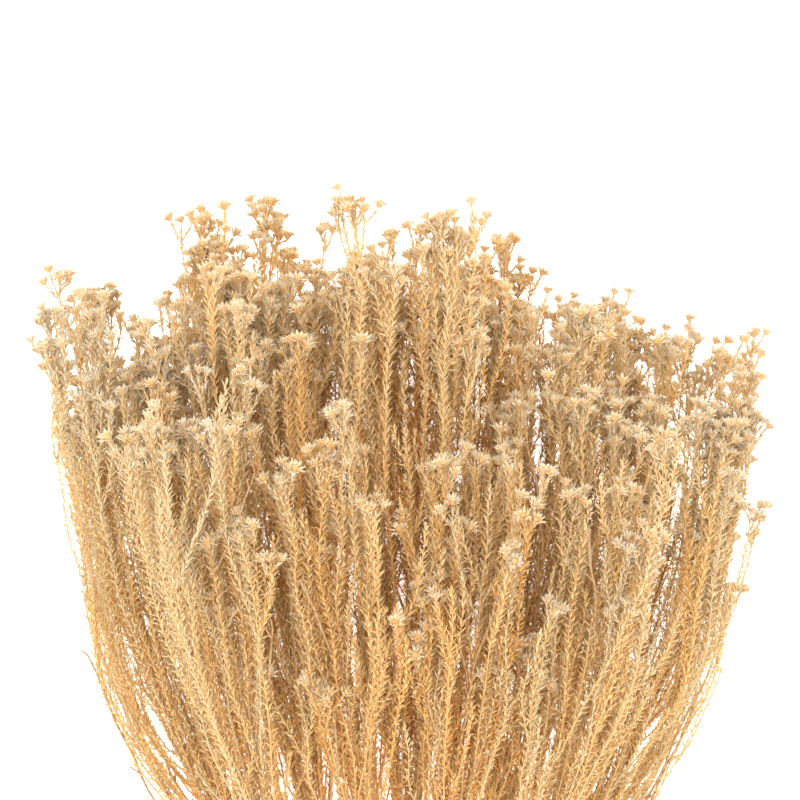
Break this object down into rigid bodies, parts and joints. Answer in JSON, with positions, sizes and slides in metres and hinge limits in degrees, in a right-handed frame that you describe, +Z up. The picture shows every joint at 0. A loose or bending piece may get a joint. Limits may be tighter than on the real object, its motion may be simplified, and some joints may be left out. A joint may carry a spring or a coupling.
{
  "type": "bunch of dried staavia",
  "caption": "Tied bunch of dried staavia lying down: woody stems, straw-coloured shoots thick with needle leaves, and crowns of small cream star-shaped flower heads.",
  "frame": {"origin": "middle of the bunch's footprint, on the surface that it lies on", "axes": "+Y along the stems from the cut ends to the flower heads, +X across the crown, +Z up from the surface"},
  "size_m": [0.3662, 0.61, 0.1859],
  "materials": {
    "bark": "dry thin bark, straw brown, matt",
    "leaf": "dried needle leaves, straw to golden tan, matt with a faint sheen",
    "flower": "papery cream bracts around a tan-orange disc, matt",
    "elastic": "natural rubber, satin"
  },
  "bodies": {
    "root": {"stem_01": "bark", "shoots_01": "leaf", "heads_01": "flower", "stem_02": "bark", "shoots_02": "leaf", "heads_02": "flower", "stem_03": "bark", "shoots_03": "leaf", "heads_03": "flower", "stem_04": "bark", "shoots_04": "leaf", "heads_04": "flower", "stem_05": "bark", "shoots_05": "leaf", "heads_05": "flower", "stem_06": "bark", "shoots_06": "leaf", "heads_06": "flower", "stem_07": "bark", "shoots_07": "leaf", "heads_07": "flower", "stem_08": "bark", "shoots_08": "leaf", "heads_08": "flower", "stem_09": "bark", "shoots_09": "leaf", "heads_09": "flower", "stem_10": "bark", "shoots_10": "leaf", "heads_10": "flower", "stem_11": "bark", "shoots_11": "leaf", "heads_11": "flower", "stem_12": "bark", "shoots_12": "leaf", "heads_12": "flower", "stem_13": "bark", "shoots_13": "leaf", "heads_13": "flower", "stem_14": "bark", "shoots_14": "leaf", "heads_14": "flower", "stem_15": "bark", "shoots_15": "leaf", "heads_15": "flower", "stem_16": "bark", "shoots_16": "leaf", "heads_16": "flower", "stem_17": "bark", "shoots_17": "leaf", "heads_17": "flower", "stem_18": "bark", "shoots_18": "leaf", "heads_18": "flower", "tie_band": "elastic"}
  },
  "joints": []
}
